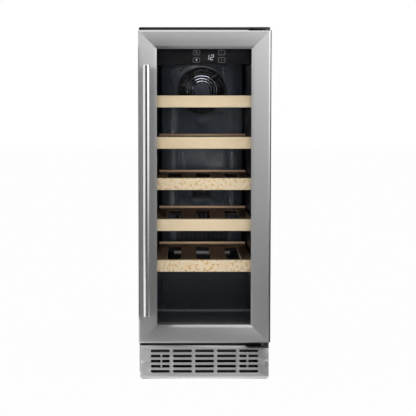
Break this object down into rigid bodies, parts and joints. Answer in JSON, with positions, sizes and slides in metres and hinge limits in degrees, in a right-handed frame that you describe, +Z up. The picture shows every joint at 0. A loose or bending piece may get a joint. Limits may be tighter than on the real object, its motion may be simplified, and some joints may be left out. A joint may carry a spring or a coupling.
{
  "type": "wine cooler",
  "caption": "Narrow under-counter wine cooler with a framed glass door, bar handle, sliding beech-fronted shelves, control head, compressor bay and slotted plinth.",
  "frame": {"origin": "on the floor, under the centre of the whole object's box", "axes": "+Z up, -Y towards someone facing the door, +X to that person's right"},
  "size_m": [0.3, 0.615, 0.806],
  "materials": {
    "shell_black": "satin",
    "galvanised": "satin",
    "pan_black": "satin",
    "foam_cream": "matte",
    "liner_black": "satin",
    "duct_slate": "satin",
    "fan_black": "satin",
    "fin_aluminium": "satin",
    "screw_steel": "polished",
    "fascia_black": "gloss",
    "board_green": "satin",
    "lamp_lens": "satin",
    "drip_grey": "satin",
    "hinge_black": "gloss",
    "stainless": "satin",
    "bar_stainless": "satin",
    "bracket_zinc": "satin",
    "compressor_black": "satin",
    "condenser_black": "satin",
    "rubber_black": "matte",
    "copper": "polished",
    "door_glass": "polished",
    "spacer_black": "satin",
    "door_black": "satin",
    "bush_white": "satin",
    "beech": "satin",
    "deck_ply": "satin",
    "rotor_grey": "satin"
  },
  "bodies": {
    "root": {"outer_shell": "shell_black", "back_sheet": "galvanised", "base_pan": "pan_black", "foam_insulation": "foam_cream", "inner_liner": "liner_black", "rear_duct_panel": "duct_slate", "fan_guard": "fan_black", "fan_frame": "fan_black", "evaporator": "fin_aluminium", "sensor_cover": "fan_black", "cabinet_screws": "screw_steel", "control_housing": "liner_black", "control_fascia": "fascia_black", "control_board": "board_green", "led_lamp": "lamp_lens", "drip_channel": "drip_grey", "shelf_runners_left": "liner_black", "shelf_runners_right": "liner_black", "top_hinge_bracket": "hinge_black", "bottom_hinge_plate": "hinge_black", "plinth_grille": "stainless", "plinth_brackets": "bracket_zinc", "compressor": "compressor_black", "compressor_mounts": "rubber_black", "condenser_coil": "condenser_black", "condenser_fan_frame": "fan_black", "refrigerant_pipes": "copper", "filter_drier": "copper", "evaporation_pan": "fan_black", "mains_inlet": "fan_black", "rear_cover": "galvanised"},
    "door": {"door_profile_left": "stainless", "door_profile_right": "stainless", "door_profile_top": "stainless", "door_profile_bottom": "stainless", "outer_glass": "door_glass", "inner_glass": "door_glass", "glass_spacer": "spacer_black", "door_liner": "door_black", "door_gasket": "rubber_black", "handle_bar": "bar_stainless", "handle_posts": "bar_stainless", "handle_screws": "screw_steel", "hinge_bushes": "bush_white"},
    "evaporator_fan": {"evaporator_fan": "rotor_grey"},
    "condenser_fan": {"condenser_fan": "rotor_grey"},
    "shelf_1": {"shelf_1_trim": "beech", "shelf_1_deck": "deck_ply"},
    "shelf_2": {"shelf_2_trim": "beech", "shelf_2_deck": "deck_ply"},
    "shelf_3": {"shelf_3_trim": "beech", "shelf_3_deck": "deck_ply"},
    "shelf_4": {"shelf_4_trim": "beech", "shelf_4_deck": "deck_ply"},
    "shelf_5": {"shelf_5_trim": "beech", "shelf_5_deck": "deck_ply"},
    "foot_front_left": {"foot_front_left": "rubber_black"},
    "foot_front_right": {"foot_front_right": "rubber_black"},
    "foot_rear_left": {"foot_rear_left": "rubber_black"},
    "foot_rear_right": {"foot_rear_right": "rubber_black"}
  },
  "joints": [
    {"name": "door_hinge", "type": "hinge", "parent": "root", "child": "door", "pos_m": [0.135, -0.2425, 0.0872], "axis": [0, 0, 1], "range_deg": [0, 110]},
    {"name": "shelf_1_slide", "type": "slide", "parent": "root", "child": "shelf_1", "axis": [0, -1, 0], "range_m": [0, 0.018]},
    {"name": "shelf_2_slide", "type": "slide", "parent": "root", "child": "shelf_2", "axis": [0, -1, 0], "range_m": [0, 0.018]},
    {"name": "shelf_3_slide", "type": "slide", "parent": "root", "child": "shelf_3", "axis": [0, -1, 0], "range_m": [0, 0.018]},
    {"name": "shelf_4_slide", "type": "slide", "parent": "root", "child": "shelf_4", "axis": [0, -1, 0], "range_m": [0, 0.018]},
    {"name": "shelf_5_slide", "type": "slide", "parent": "root", "child": "shelf_5", "axis": [0, -1, 0], "range_m": [0, 0.018]},
    {"name": "evaporator_fan_spin", "type": "hinge", "parent": "root", "child": "evaporator_fan", "pos_m": [0, 0.2165, 0.6695], "axis": [0, 1, 0], "continuous": true},
    {"name": "condenser_fan_spin", "type": "hinge", "parent": "root", "child": "condenser_fan", "pos_m": [0.084, 0.0445, 0.0755], "axis": [0, 1, 0], "continuous": true},
    {"name": "foot_front_left_screw", "type": "slide", "parent": "root", "child": "foot_front_left", "axis": [0, 0, -1], "range_m": [0, 0.025]},
    {"name": "foot_front_right_screw", "type": "slide", "parent": "root", "child": "foot_front_right", "axis": [0, 0, -1], "range_m": [0, 0.025]},
    {"name": "foot_rear_left_screw", "type": "slide", "parent": "root", "child": "foot_rear_left", "axis": [0, 0, -1], "range_m": [0, 0.025]},
    {"name": "foot_rear_right_screw", "type": "slide", "parent": "root", "child": "foot_rear_right", "axis": [0, 0, -1], "range_m": [0, 0.025]}
  ]
}
